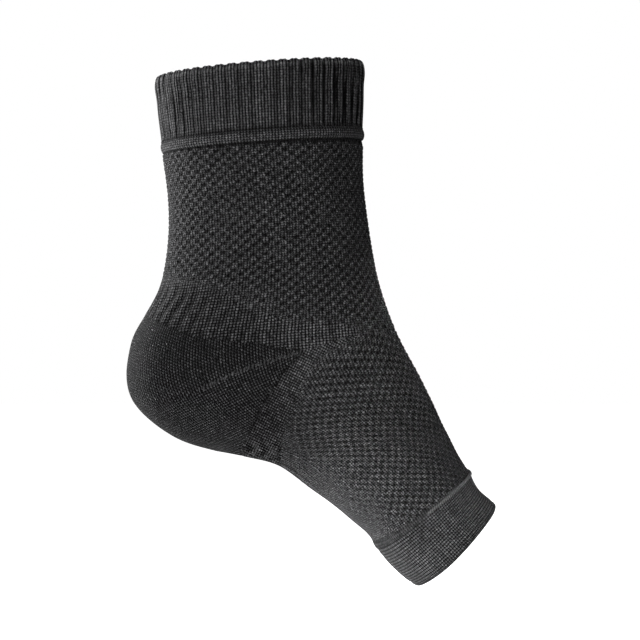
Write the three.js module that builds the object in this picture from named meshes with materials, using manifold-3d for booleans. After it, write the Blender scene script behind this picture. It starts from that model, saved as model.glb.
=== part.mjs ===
// Elastic ankle support: a knitted sleeve that runs from the shin, round the ankle and the heel,
// to the middle of the foot. Millimetres, +Z up the leg, +X towards the toes, +Y across.
// The origin is the centre of the ankle, inside the sleeve.
// Every piece is a wall that follows one bent tube. A place on the tube is given by the distance
// along the middle line from the rim, the share of the way round, and the distance out of the skin.
import * as THREE from "three";
import { mergeVertices } from "three/addons/utils/BufferGeometryUtils.js";
import Module from "manifold-3d";

// Sizes of the whole sleeve
const SLEEVE_LENGTH = 155; // back of the heel to the toe edge, along X
const SLEEVE_HEIGHT = 219; // toe edge to the rim, along Z
const SLEEVE_WIDTH = 84; // widest place, across the toe edge

// Top cuff
const TOP_CUFF_HEIGHT = 27.6;
const TOP_CUFF_WALL = 2.4;
const RIM_ROUNDING = 1.1;
const RIB_COUNT = 50;
const RIB_DEPTH = 0.6;

// Hem band under the cuff
const HEM_BAND_HEIGHT = 4.2;
const HEM_BAND_WALL = 2.4;
const HEM_BAND_BULGE_HEIGHT = 0.5;

// Knitted panels of the leg, the ankle, the heel and the instep
const PANEL_WALL = 1.8;

// Border and cuff at the foot end
const BORDER_WIDTH = 2.8;
const BORDER_WALL = 2.2;
const BORDER_BULGE_HEIGHT = 1;
const FOOT_CUFF_LENGTH = 19.2;
const FOOT_CUFF_WALL = 2.2;
const TOE_EDGE_ROUNDING = 1;

// Slope of the leg's knitted rows, which rise towards the front. The leg's last row ends at the tip
// of the ankle band and runs on from there to the front.
const LEG_ROW_SLOPE = 5; // degrees

// Clearance where two pieces meet
const SEAM_GAP = 0.3;

// Fineness of the facets
const FACET_COUNT = 40;
const PANEL_RING_COUNT = 24;
const RIB_POINT_COUNT = 3;
const OUTLINE_POINT_COUNT = 44;
const LINE_STEP_COUNT = 400;
const SLOPE_STEP_SHARE = 1e-3; // of the sleeve and of a turn, for the slope of the skin
const MERGE_WITHIN = 1e-4;

const ACROSS = new THREE.Vector3(0, 1, 0);

const KNIT_GREY = 0x343436;
const CUFF_GREY = 0x3a3a3c;

// Sections of the tube, from the rim to the toe edge. Each one is a plane across the sleeve,
// seen from the side as a line from its front end to its back end.
// X is a share of SLEEVE_LENGTH, Z of SLEEVE_HEIGHT, and width of SLEEVE_WIDTH.
// frontRound and backRound say how blunt each end is: 2 is an ellipse, and more is blunter.
const SECTIONS = [
  ["rim", 0.264, 0.456, -0.292, 0.424, 0.94, 2.1, 2.2],
  ["cuff", 0.264, 0.38, -0.285, 0.352, 0.93, 2.1, 2.2],
  ["hem", 0.263, 0.305, -0.275, 0.278, 0.91, 2.1, 2.2],
  ["shin", 0.266, 0.234, -0.264, 0.209, 0.89, 2.1, 2.2],
  ["narrow", 0.275, 0.165, -0.259, 0.14, 0.87, 2.05, 2.2],
  ["above ankle", 0.289, 0.098, -0.266, 0.08, 0.85, 2, 2.2],
  ["ankle top", 0.306, 0.036, -0.286, 0.023, 0.86, 2, 2.25],
  ["ankle", 0.329, -0.017, -0.322, -0.031, 0.87, 2, 2.3],
  ["heel top", 0.352, -0.057, -0.358, -0.083, 0.86, 1.95, 2.35],
  ["heel back", 0.373, -0.087, -0.374, -0.141, 0.84, 1.95, 2.4],
  ["heel low", 0.395, -0.115, -0.36, -0.19, 0.82, 1.95, 2.45],
  ["heel corner", 0.417, -0.143, -0.311, -0.231, 0.81, 1.95, 2.5],
  ["heel sole", 0.437, -0.172, -0.234, -0.267, 0.8, 2, 2.5],
  ["heel front", 0.459, -0.205, -0.145, -0.286, 0.8, 2, 2.5],
  ["arch", 0.478, -0.236, -0.053, -0.298, 0.82, 2.05, 2.5],
  ["arch front", 0.498, -0.264, 0.038, -0.317, 0.85, 2.1, 2.5],
  ["midfoot", 0.518, -0.292, 0.127, -0.361, 0.89, 2.1, 2.45],
  ["instep end", 0.537, -0.314, 0.228, -0.418, 0.93, 2.15, 2.4],
  ["border", 0.557, -0.336, 0.31, -0.481, 0.96, 2.2, 2.4],
  ["foot cuff", 0.583, -0.366, 0.356, -0.514, 0.98, 2.2, 2.3],
  ["toe edge", 0.622, -0.396, 0.401, -0.543, 1, 2.2, 2.3],
].map(([at, frontX, frontZ, backX, backZ, width, frontRound, backRound]) => {
  return { at, frontX, frontZ, backX, backZ, width, frontRound, backRound };
});

// Outline of all that the ankle band goes round, seen from the side, the same on both sides:
// its upper edge from behind the leg to its tip, its front edge down to the sole, and back round
// the heel well clear of the sleeve. Shares of SLEEVE_LENGTH and SLEEVE_HEIGHT.
const BAND_TIP = { x: 0.255, z: -0.064 };
const ANKLE_BAND_OUTLINE = [
  { x: -0.45, z: 0.04 },
  { x: -0.276, z: 0.036 },
  { x: -0.17, z: 0.026 },
  { x: -0.07, z: -0.002 },
  { x: 0.03, z: -0.035 },
  { x: 0.122, z: -0.046 },
  { x: 0.2, z: -0.047 },
  BAND_TIP,
  { x: 0.19, z: -0.09 },
  { x: 0.127, z: -0.125 },
  { x: 0.084, z: -0.188 },
  { x: 0.051, z: -0.253 },
  { x: 0.045, z: -0.31 },
  { x: 0.04, z: -0.4 },
  { x: -0.2, z: -0.42 },
  { x: -0.45, z: -0.38 },
  { x: -0.55, z: -0.17 },
];

// Outline of the heel pocket in the same shares: its upper edge to the tip below the ankle bone,
// the seam down to the sole, and round the heel clear of the sleeve.
const HEEL_OUTLINE = [
  { x: -0.45, z: -0.02 },
  { x: -0.32, z: -0.031 },
  { x: -0.203, z: -0.062 },
  { x: -0.1, z: -0.075 },
  { x: 0.02, z: -0.086 },
  { x: 0.098, z: -0.097 },
  { x: 0.055, z: -0.133 },
  { x: 0.008, z: -0.188 },
  { x: -0.035, z: -0.245 },
  { x: -0.06, z: -0.3 },
  { x: -0.08, z: -0.38 },
  { x: -0.3, z: -0.4 },
  { x: -0.5, z: -0.3 },
  { x: -0.55, z: -0.12 },
];

// A smooth run through one column of the sections: station 0 is the rim and 1 the toe edge.
function column(name, station) {
  const last = SECTIONS.length - 1;
  const place = THREE.MathUtils.clamp(station, 0, 1) * last;
  const row = Math.min(Math.floor(place), last - 1);
  const part = place - row;
  const start = SECTIONS[row][name];
  const end = SECTIONS[row + 1][name];
  const before = row > 0 ? SECTIONS[row - 1][name] : 2 * start - end;
  const after = row + 2 <= last ? SECTIONS[row + 2][name] : 2 * end - start;
  const curve = 2 * before - 5 * start + 4 * end - after;
  const twist = 3 * (start - end) + after - before;
  return start + 0.5 * part * (end - before + part * (curve + part * twist));
}

// One section as its middle, its long axis in the XZ plane, and its half sizes.
function sectionAt(station) {
  const front = new THREE.Vector3(
    column("frontX", station) * SLEEVE_LENGTH,
    0,
    column("frontZ", station) * SLEEVE_HEIGHT,
  );
  const back = new THREE.Vector3(
    column("backX", station) * SLEEVE_LENGTH,
    0,
    column("backZ", station) * SLEEVE_HEIGHT,
  );
  return {
    middle: front.clone().lerp(back, 0.5),
    axis: front.clone().sub(back).normalize(),
    halfDepth: front.distanceTo(back) / 2,
    halfWidth: (column("width", station) * SLEEVE_WIDTH) / 2,
    frontRound: column("frontRound", station),
    backRound: column("backRound", station),
  };
}

// The skin of the tube at an angle round a section: 0 is the front and a quarter turn the +Y side.
function skinPoint(section, angle) {
  const along = Math.cos(angle);
  const across = Math.sin(angle);
  const bluntness = along > 0 ? section.frontRound : section.backRound;
  const reach =
    (Math.abs(along / section.halfDepth) ** bluntness +
      Math.abs(across / section.halfWidth) ** bluntness) **
    (-1 / bluntness);
  const point = section.axis.clone().multiplyScalar(reach * along).add(section.middle);
  point.y = reach * across;
  return point;
}

// Angles that share the girth of a section out evenly.
function evenAngles(section, count) {
  const lengths = [0];
  const points = [];
  for (let step = 0; step <= LINE_STEP_COUNT; step++)
    points.push(skinPoint(section, (2 * Math.PI * step) / LINE_STEP_COUNT));
  for (let step = 1; step <= LINE_STEP_COUNT; step++)
    lengths.push(lengths[step - 1] + points[step].distanceTo(points[step - 1]));
  const angles = [];
  let step = 1;
  for (let index = 0; index < count; index++) {
    const wanted = (lengths[LINE_STEP_COUNT] * index) / count;
    while (lengths[step] < wanted) step++;
    const part = (wanted - lengths[step - 1]) / (lengths[step] - lengths[step - 1]);
    angles.push((2 * Math.PI * (step - 1 + part)) / LINE_STEP_COUNT);
  }
  return angles;
}

// The way out of the skin, square to it.
function skinNormal(station, angle) {
  const lower = Math.max(station - SLOPE_STEP_SHARE, 0);
  const upper = Math.min(station + SLOPE_STEP_SHARE, 1);
  const section = sectionAt(station);
  const down = skinPoint(sectionAt(upper), angle).sub(skinPoint(sectionAt(lower), angle));
  const round = skinPoint(section, angle + SLOPE_STEP_SHARE).sub(skinPoint(section, angle - SLOPE_STEP_SHARE));
  return down.cross(round).normalize();
}

// Distance along the middle line from the rim, for evenly spaced stations.
const MIDDLE_LINE = [{ station: 0, distance: 0 }];
for (let step = 1; step <= LINE_STEP_COUNT; step++) {
  const previous = MIDDLE_LINE[step - 1];
  const station = step / LINE_STEP_COUNT;
  const length = sectionAt(station).middle.distanceTo(sectionAt(previous.station).middle);
  MIDDLE_LINE.push({ station, distance: previous.distance + length });
}
const TOE_EDGE_AT = MIDDLE_LINE[LINE_STEP_COUNT].distance;

function stationAt(distance) {
  const next = Math.max(1, MIDDLE_LINE.findIndex((mark) => mark.distance >= distance));
  const before = MIDDLE_LINE[next - 1];
  const after = MIDDLE_LINE[next];
  const part = (distance - before.distance) / (after.distance - before.distance);
  return THREE.MathUtils.lerp(before.station, after.station, part);
}

// A wall that goes right round the sleeve. Its loop is the wall's closed section, in rows of
// distance along from the rim and distance out of the skin. The loop goes down the outside and
// back up the inside, and relief(index) is how far the marked rows are drawn in at each facet.
function wallAround(loop, facets, relief = () => 0) {
  const positions = [];
  for (const { along, out, ribbed } of loop) {
    const station = stationAt(along);
    const section = sectionAt(station);
    evenAngles(section, facets).forEach((angle, index) => {
      const sunk = ribbed ? relief(index) : 0;
      const point = skinPoint(section, angle).addScaledVector(skinNormal(station, angle), out - sunk);
      positions.push(point.x, point.y, point.z);
    });
  }
  const indices = [];
  loop.forEach((_, row) => {
    const here = row * facets;
    const below = ((row + 1) % loop.length) * facets;
    for (let index = 0; index < facets; index++) {
      const beside = (index + 1) % facets;
      indices.push(here + index, below + index, below + beside);
      indices.push(here + index, below + beside, here + beside);
    }
  });
  const geometry = new THREE.BufferGeometry();
  geometry.setAttribute("position", new THREE.Float32BufferAttribute(positions, 3));
  geometry.setIndex(indices);
  return geometry;
}

// Where each zone starts and ends along the middle line
const HEM_AT = TOP_CUFF_HEIGHT;
const PANELS_AT = HEM_AT + HEM_BAND_HEIGHT;
const FOOT_CUFF_AT = TOE_EDGE_AT - FOOT_CUFF_LENGTH;
const BORDER_AT = FOOT_CUFF_AT - BORDER_WIDTH;
const HALF_GAP = SEAM_GAP / 2;

function topCuff() {
  const end = HEM_AT - HALF_GAP;
  const loop = [
    { along: RIM_ROUNDING / 3, out: -RIM_ROUNDING / 3, ribbed: true },
    { along: RIM_ROUNDING, out: 0, ribbed: true },
    { along: end / 2, out: 0, ribbed: true },
    { along: end, out: 0, ribbed: true },
    { along: end, out: -TOP_CUFF_WALL },
    { along: end / 2, out: -TOP_CUFF_WALL },
    { along: RIM_ROUNDING / 2, out: -TOP_CUFF_WALL },
    { along: 0, out: -TOP_CUFF_WALL / 2 },
  ];
  const groove = (index) => (index % RIB_POINT_COUNT === 0 ? RIB_DEPTH : 0);
  return wallAround(loop, RIB_COUNT * RIB_POINT_COUNT, groove);
}

// A low roll between two edges, proud of the skin in the middle.
function rollAround(start, end, wall, bulge) {
  const quarter = (end - start) / 4;
  return wallAround(
    [
      { along: start, out: 0 },
      { along: start + quarter, out: bulge },
      { along: end - quarter, out: bulge },
      { along: end, out: 0 },
      { along: end, out: -wall },
      { along: start, out: -wall },
    ],
    FACET_COUNT,
  );
}

function footCuff() {
  const start = FOOT_CUFF_AT + HALF_GAP;
  const middle = (start + TOE_EDGE_AT) / 2;
  const loop = [
    { along: start, out: 0 },
    { along: middle, out: 0 },
    { along: TOE_EDGE_AT - TOE_EDGE_ROUNDING, out: 0 },
    { along: TOE_EDGE_AT, out: -TOE_EDGE_ROUNDING },
    { along: TOE_EDGE_AT, out: -FOOT_CUFF_WALL },
    { along: middle, out: -FOOT_CUFF_WALL },
    { along: start, out: -FOOT_CUFF_WALL },
  ];
  return wallAround(loop, FACET_COUNT);
}

// All the knitted panels as one wall, before they are parted.
function panelTube() {
  const start = PANELS_AT + HALF_GAP;
  const end = BORDER_AT - HALF_GAP;
  const outside = [];
  for (let ring = 0; ring <= PANEL_RING_COUNT; ring++)
    outside.push({ along: THREE.MathUtils.lerp(start, end, ring / PANEL_RING_COUNT), out: 0 });
  const inside = outside.map(({ along }) => ({ along, out: -PANEL_WALL })).reverse();
  return wallAround([...outside, ...inside], FACET_COUNT);
}

// The corners of an outline along its smooth curve, with each side moved out by a clearance.
function outlineCorners(outline, growth) {
  const points = outline.map(({ x, z }) => new THREE.Vector3(x * SLEEVE_LENGTH, 0, z * SLEEVE_HEIGHT));
  const corners = new THREE.CatmullRomCurve3(points, true).getSpacedPoints(OUTLINE_POINT_COUNT).slice(1);
  return corners.map((corner, index) => {
    const next = corners[(index + 1) % corners.length];
    const outOfLast = corner.clone().sub(corners.at(index - 1)).cross(ACROSS).normalize();
    const outOfNext = next.clone().sub(corner).cross(ACROSS).normalize();
    const reach = growth / (1 + outOfLast.dot(outOfNext));
    return corner.clone().addScaledVector(outOfLast.add(outOfNext), reach);
  });
}

// A block right across the sleeve with the given outline, grown all round by a clearance.
function blockAcross(outline, growth) {
  const shape = new THREE.Shape(outlineCorners(outline, growth).map(({ x, z }) => new THREE.Vector2(x, z)));
  const depth = 2 * SLEEVE_WIDTH;
  const block = new THREE.ExtrudeGeometry(shape, { depth, bevelEnabled: false });
  return block.rotateX(Math.PI / 2).translate(0, depth / 2, 0);
}

// A block that holds all of the sleeve above the leg's last row, lengthened down by a clearance.
function blockAboveLastRow(growth) {
  const reach = 2 * SLEEVE_LENGTH;
  const block = new THREE.BoxGeometry(reach, reach, SLEEVE_HEIGHT);
  block.translate(0, 0, SLEEVE_HEIGHT / 2 - growth);
  block.rotateY(-THREE.MathUtils.degToRad(LEG_ROW_SLOPE));
  return block.translate(BAND_TIP.x * SLEEVE_LENGTH, 0, BAND_TIP.z * SLEEVE_HEIGHT);
}

const manifold = await Module();
manifold.setup();

function toSolid(geometry) {
  geometry.deleteAttribute("normal");
  geometry.deleteAttribute("uv");
  const merged = mergeVertices(geometry, MERGE_WITHIN);
  return new manifold.Manifold(
    new manifold.Mesh({
      numProp: 3,
      vertProperties: merged.attributes.position.array,
      triVerts: new Uint32Array(merged.index.array),
    }),
  );
}

function toGeometry(solid) {
  const mesh = solid.getMesh();
  const geometry = new THREE.BufferGeometry();
  geometry.setAttribute("position", new THREE.BufferAttribute(mesh.vertProperties, 3));
  geometry.setIndex(new THREE.BufferAttribute(mesh.triVerts, 1));
  geometry.computeVertexNormals();
  return geometry;
}

const sleeve = new THREE.Group();

function addPiece(parent, name, geometry, colour) {
  const material = new THREE.MeshStandardMaterial({ color: colour, roughness: 0.95, metalness: 0 });
  const piece = new THREE.Mesh(geometry, material);
  piece.name = name;
  parent.add(piece);
}

// Leg end: the ribbed cuff and its hem
const legEnd = new THREE.Group();
addPiece(legEnd, "top_cuff", topCuff(), CUFF_GREY);
addPiece(
  legEnd,
  "hem_band",
  rollAround(HEM_AT + HALF_GAP, PANELS_AT - HALF_GAP, HEM_BAND_WALL, HEM_BAND_BULGE_HEIGHT),
  KNIT_GREY,
);
sleeve.add(legEnd);

// Panels: the leg meets the instep in front of the ankle band, and the band holds the heel pocket
const panels = new THREE.Group();
const tube = toSolid(panelTube());
const bandAndHeel = toSolid(blockAcross(ANKLE_BAND_OUTLINE, 0));
const bandAndHeelWithGap = toSolid(blockAcross(ANKLE_BAND_OUTLINE, SEAM_GAP));
const heel = toSolid(blockAcross(HEEL_OUTLINE, 0));
const heelWithGap = toSolid(blockAcross(HEEL_OUTLINE, SEAM_GAP));
const legAndInstep = tube.subtract(bandAndHeelWithGap);
const aboveLastRow = toSolid(blockAboveLastRow(0));
const aboveLastRowWithGap = toSolid(blockAboveLastRow(SEAM_GAP));
addPiece(panels, "leg_panel", toGeometry(legAndInstep.intersect(aboveLastRow)), KNIT_GREY);
addPiece(panels, "instep_panel", toGeometry(legAndInstep.subtract(aboveLastRowWithGap)), KNIT_GREY);
addPiece(
  panels,
  "ankle_rib_band",
  toGeometry(tube.intersect(bandAndHeel).subtract(heelWithGap)),
  KNIT_GREY,
);
addPiece(panels, "heel_pocket", toGeometry(tube.intersect(heel)), KNIT_GREY);
sleeve.add(panels);

// Foot end: the raised border and the foot cuff
const footEnd = new THREE.Group();
addPiece(
  footEnd,
  "foot_border",
  rollAround(BORDER_AT + HALF_GAP, FOOT_CUFF_AT - HALF_GAP, BORDER_WALL, BORDER_BULGE_HEIGHT),
  CUFF_GREY,
);
addPiece(footEnd, "foot_cuff", footCuff(), CUFF_GREY);
sleeve.add(footEnd);

export default sleeve;
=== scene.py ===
"""Elastic ankle support: a knitted sleeve for the ankle, drawn from its sections and its knit."""

import math

import bpy
import numpy as np
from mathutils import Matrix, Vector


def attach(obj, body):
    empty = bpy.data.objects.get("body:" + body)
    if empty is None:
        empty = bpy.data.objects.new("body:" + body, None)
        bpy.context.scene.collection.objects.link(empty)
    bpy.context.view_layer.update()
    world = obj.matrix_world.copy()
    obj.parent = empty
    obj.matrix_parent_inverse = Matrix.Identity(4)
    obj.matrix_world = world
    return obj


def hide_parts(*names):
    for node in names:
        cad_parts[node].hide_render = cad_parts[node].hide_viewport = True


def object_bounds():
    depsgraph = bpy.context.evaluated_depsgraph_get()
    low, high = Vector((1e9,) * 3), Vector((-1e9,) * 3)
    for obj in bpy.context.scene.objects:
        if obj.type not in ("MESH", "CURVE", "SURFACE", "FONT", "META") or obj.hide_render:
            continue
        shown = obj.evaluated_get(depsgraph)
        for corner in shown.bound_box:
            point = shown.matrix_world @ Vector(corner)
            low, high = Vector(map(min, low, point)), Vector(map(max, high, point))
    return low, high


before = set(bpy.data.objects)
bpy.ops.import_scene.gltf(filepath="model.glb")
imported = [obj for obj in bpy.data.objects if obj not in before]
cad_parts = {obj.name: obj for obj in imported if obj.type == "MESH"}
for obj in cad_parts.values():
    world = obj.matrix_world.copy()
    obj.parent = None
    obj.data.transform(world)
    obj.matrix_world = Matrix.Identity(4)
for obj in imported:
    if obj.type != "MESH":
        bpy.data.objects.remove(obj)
CAD_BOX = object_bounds()

bl_info = {
    "name": "Elastic ankle support",
    "version": (1, 0, 0),
    "blender": (4, 5, 0),
    "location": "3D View > Sidebar > Ankle support",
    "description": "Builds a knitted elastic ankle support, zone by zone, with its studio",
    "category": "Add Mesh",
}

MM = 0.001
TURN = 2 * math.pi

# Sections of the sleeve, from the rim to the toe edge, as planes across it seen from the side.
# X is a share of the sleeve's length, Z of its height, and width of its width. The last two
# columns say how blunt the front and the back of the section are: 2 is an ellipse.
SECTION_COLUMNS = (
    "front_x", "front_z", "back_x", "back_z", "width", "front_round", "back_round",
)
SECTIONS = {
    "rim": (0.264, 0.456, -0.292, 0.424, 0.94, 2.1, 2.2),
    "cuff": (0.264, 0.380, -0.285, 0.352, 0.93, 2.1, 2.2),
    "hem": (0.263, 0.305, -0.275, 0.278, 0.91, 2.1, 2.2),
    "shin": (0.266, 0.234, -0.264, 0.209, 0.89, 2.1, 2.2),
    "narrow": (0.275, 0.165, -0.259, 0.140, 0.87, 2.05, 2.2),
    "above ankle": (0.289, 0.098, -0.266, 0.080, 0.85, 2.0, 2.2),
    "ankle top": (0.306, 0.036, -0.286, 0.023, 0.86, 2.0, 2.25),
    "ankle": (0.329, -0.017, -0.322, -0.031, 0.87, 2.0, 2.3),
    "heel top": (0.352, -0.057, -0.358, -0.083, 0.86, 1.95, 2.35),
    "heel back": (0.373, -0.087, -0.374, -0.141, 0.84, 1.95, 2.4),
    "heel low": (0.395, -0.115, -0.360, -0.190, 0.82, 1.95, 2.45),
    "heel corner": (0.417, -0.143, -0.311, -0.231, 0.81, 1.95, 2.5),
    "heel sole": (0.437, -0.172, -0.234, -0.267, 0.80, 2.0, 2.5),
    "heel front": (0.459, -0.205, -0.145, -0.286, 0.80, 2.0, 2.5),
    "arch": (0.478, -0.236, -0.053, -0.298, 0.82, 2.05, 2.5),
    "arch front": (0.498, -0.264, 0.038, -0.317, 0.85, 2.1, 2.5),
    "midfoot": (0.518, -0.292, 0.127, -0.361, 0.89, 2.1, 2.45),
    "instep end": (0.537, -0.314, 0.228, -0.418, 0.93, 2.15, 2.4),
    "border": (0.557, -0.336, 0.310, -0.481, 0.96, 2.2, 2.4),
    "foot cuff": (0.583, -0.366, 0.356, -0.514, 0.98, 2.2, 2.3),
    "toe edge": (0.622, -0.396, 0.401, -0.543, 1.0, 2.2, 2.3),
}

# Outlines seen from the side, as shares of the sleeve's length and height. Each one runs along
# the upper edge to the tip, down to the sole, and back round the heel clear of the sleeve.
BAND_TIP = (0.255, -0.064)
BAND_OUTLINE = (
    (-0.45, 0.04), (-0.276, 0.036), (-0.17, 0.026), (-0.07, -0.002), (0.03, -0.035),
    (0.122, -0.046), (0.2, -0.047), BAND_TIP, (0.19, -0.09), (0.127, -0.125),
    (0.084, -0.188), (0.051, -0.253), (0.045, -0.31), (0.04, -0.4), (-0.2, -0.42),
    (-0.45, -0.38), (-0.55, -0.17),
)
HEEL_TIP = (0.098, -0.097)
HEEL_OUTLINE = (
    (-0.45, -0.02), (-0.32, -0.031), (-0.203, -0.062), (-0.1, -0.075), (0.02, -0.086),
    HEEL_TIP, (0.055, -0.133), (0.008, -0.188), (-0.035, -0.245), (-0.06, -0.3),
    (-0.08, -0.38), (-0.3, -0.4), (-0.5, -0.3), (-0.55, -0.12),
)
# The gathered line across the heel pocket, from its tip to where it fades behind the heel.
GORE_LINE = (
    HEEL_TIP, (0.051, -0.107), (-0.024, -0.123), (-0.084, -0.14), (-0.141, -0.159),
    (-0.195, -0.184), (-0.27, -0.197), (-0.347, -0.201),
)

# Swells and hollows of the worn knit, seen from the side, in millimetres: where each one lies,
# how far it reaches and how far it stands out.
SWELL_COLUMNS = ("x", "z", "reach", "height")
SWELLS = {
    "back above the heel": (-54, -13, 10, 1.1),
    "arch": (5, -69, 13, -0.35),
    "sole before the border": (43.5, -99.5, 7, -1.5),
    "sole of the foot cuff": (55, -111, 9, 1.0),
    "toe edge on the sole": (63, -119, 4, -0.5),
    "toe edge on the instep": (95, -86, 8, 0.9),
    "rim at the back": (-45, 88, 26, 0.8),
    "rim at the front": (41, 94, 26, 0.7),
}

# Slopes of the knitted rows seen from the side, in degrees: plus rises towards the front.
LEG_ROW_SLOPE = 5
INSTEP_ROW_SLOPE = 37.5
ARCH_RUNG_SLOPE = -27
HEEL_TOP_ROW_SLOPE = -22
HEEL_SOLE_ROW_SLOPE = 25

# How far the roll under the cuff hangs over the leg
HEM_OVERHANG = 0.6 * MM

# The knit of the panels: the two places between which each effect fades in, in millimetres
FADES = {
    "heel zone": (-0.4, 0.4),
    "band zone": (-1.2, 1.2),
    "instep zone": (-0.6, 0.6),
    "tufts clear of the band": (-1, 9),
    "tufts flatten on the sole": (0, 10),
    "ribs bend near the heel": (-16, 0),
    "ribs stop at the mitre": (-3, 3),
    "ribs deepen in the band": (-3, 6),
    "ribs weaken forwards": (-25, 5),
    "heel seam past the mitre": (-2, 2),
    "heel seam from the back": (-45, -25),
    "heel seam down to the sole": (52, 60),
    "gathers end": (42, 64),
    "folds begin": (-18, -8),
    "folds end": (14, 30),
    "folds above the sole": (-62, -55),
    "heel lightens forwards": (-38, -12),
    "edge of the heel": (2, 12),
    "heel beside the mitre": (-6, 0),
    "painted shade deepens down the arch": (34, 50),
    "band lightens forwards": (0, 28),
    "painted light on the front half": (-5, 15),
    "above the foot": (-50, -36),
    "painted light grows forwards on the sole": (4, 34),
    "rim of the cuff": (0.5, 4),
    "end of the ribs": (0, 2.5),
    "foot cuff stretches down": (90, 110),
    "painted light on the lower foot cuff": (94, 116),
}
# The same in shares of the girth, counted from the middle of the back and the sole
GIRTH_FADES = {
    "tufts clear of the sole": (0.11, 0.27),
    "tufts clear of the back": (0.03, 0.13),
    "folds beside the sole": (0.15, 0.24),
    "shade beside the sole": (0.2, 0.36),
    "painted shade of the border eases off the sole": (0.2, 0.34),
}
# Widths of ridges and furrows, in millimetres
WIDTHS = {
    "heel seam": 0.55,
    "gathers": 1.1,
    "last row": 0.6,
    "rise to the border": 2.6,
    "beside the heel": 3.5,
    "arch shade": 11,
    "painted shade in the gap above the hem": 0.9,
    "rim roll": 3.5,
    "toe line": 0.45,
    "foot cuff at the border": 2.2,
}
# How far they stand out or lie in, in millimetres
HEIGHTS = {
    "heel seam": 0.2,
    "seam stitches": 0.4,
    "gathers": 0.55,
    "last row": 0.15,
    "rise to the border": 0.35,
    "folds": 0.3,
    "uneven panels": 0.25,
    "heel": 0.1,
    "crease": 0.5,
}
# How much lighter or darker they are. Besides the entries named as painted shade or light, crease, folds,
# arch and sole are painted shade.
TONES = {
    "painted shade in the band grooves": 0.6,
    "band forwards": 0.5,
    "arch": 0.05,
    "painted shade down the arch": 0.3,
    "painted shade on the instep front": 0.35,
    "heel": 0.8,
    "heel forwards": 0.45,
    "heel at the mitre": 0.25,
    "gathers": 0.7,
    "folds": 0.35,
    "heel seam": 0.5,
    "seam stitches": 0.9,
    "crease": 0.97,
    "heel beside the band": 0.25,
    "band beside the heel": 0.2,
    "painted light on the front half": 0.14,
    "arch shade": 0.2,
    "sole": 0.26,
    "painted light on the sole forwards": 0.6,
}
# Slow unevenness of the knit: the size of its waves in millimetres and its seed
WANDERS = {
    "tufts": (5, 3),
    "band ribs": (24, 21),
    "panels": (34, 11),
    "cuff lean": (28, 5),
    "cuff depth": (15, 6),
    "cuff wave": (30, 7),
    "hem": (18, 8),
    "foot cuff": (22, 9),
}

# Stitches and patterns of the panels. A tuft's level is its share of the full height.
STITCHES_PER_CELL = 4
TUFT_LEVEL = 0.59
TUFT_CONTRAST = 0.62
TUFT_FILL_ON_SOLE = 0.1
TUFT_REST_LEVEL = 0.75
RIB_WIDTH = 0.27
RIB_BEND = 0.7
SEAM_STITCH = 2.3 * MM
GATHER_STITCH = 2.1 * MM
FOLDS_ROUND = 88
ARCH_SHADE_PLACE = (12 * MM, -46 * MM)
BAND_COURSE_SHARE = 0.85
ARCH_COURSE = 1.0 * MM
ARCH_WALE = 1.08 * MM
HEEL_COURSE = 1.1 * MM
HEEL_WALE_SHARE = 1.2
CUFF_COURSE = 1.1 * MM
INSIDE_TONE = 0.6
CUFF_INSIDE_TONE = 0.5

# Fineness of the curves and meshes
LINE_STATIONS = 4001
FINE_ANGLES = 1440
SLOPE_STEP = 1e-3
OUTLINE_STEPS = 10
PANEL_AROUND = 500
PANEL_STEP = 0.45 * MM
TOP_CUFF_ROWS = {"outside": 44, "inside": 16, "fold": 13}
FOOT_CUFF_ROWS = {"outside": 40, "inside": 14, "fold": 9}
TOP_CUFF_POINTS_PER_CELL = 12
FOOT_CUFF_POINTS_PER_CELL = 10
HEM_ROWS = 15
BORDER_ROWS = 13
RIM_FOLD = 2.8 * MM


def in_mm(name, description, size):
    """A length given in millimetres."""
    return bpy.props.FloatProperty(name=name, description=description, default=size * MM, unit="LENGTH")


def yarn_colour(name, tone):
    """A grey yarn, a little bluer than neutral."""
    return bpy.props.FloatVectorProperty(
        name=name, description="Yarn colour, linear", subtype="COLOR", size=3, min=0, max=1,
        default=(tone, tone, tone * 1.03),
    )


class SleeveSizes(bpy.types.PropertyGroup):
    """Sizes of the whole sleeve and of its plain zones."""

    length: in_mm("Length", "Back of the heel to the toe edge", 155)
    height: in_mm("Height", "Toe edge to the rim", 219)
    width: in_mm("Width", "Widest place, across the toe edge", 84)
    top_cuff_height: in_mm("Top cuff height", "Ribbed cuff along the leg", 27.6)
    hem_height: in_mm("Hem height", "Plain roll under the cuff", 4.2)
    hem_bulge: in_mm("Hem bulge", "How far the roll stands proud", 0.6)
    border_width: in_mm("Border width", "Raised strip before the foot cuff", 2.8)
    border_bulge: in_mm("Border bulge", "How far the strip stands proud", 0.9)
    foot_cuff_length: in_mm("Foot cuff length", "Plain cuff along the foot", 19.2)
    cuff_wall: in_mm("Cuff wall", "Folded knit of both cuffs", 2.3)
    panel_wall: in_mm("Panel wall", "Single knit of the panels", 1.8)


class KnitSizes(bpy.types.PropertyGroup):
    """Counts and depths of the knit."""

    cells_round: bpy.props.IntProperty(
        name="Cells round", description="Four-stitch cells in one turn of the sleeve", default=50
    )
    cuff_rib_depth: in_mm("Cuff rib depth", "Depth of the grooves in the top cuff", 1.2)
    tuft_height: in_mm("Tuft height", "Height of the raised tufts in the panels", 0.75)
    band_rib_depth: in_mm("Band rib depth", "Depth of the fine grooves in the ankle band", 0.6)
    leg_row_pitch: in_mm("Leg row pitch", "One row of tufts along the leg", 3.76)
    instep_row_pitch: in_mm("Instep row pitch", "One row of tufts along the foot", 3.4)


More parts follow.
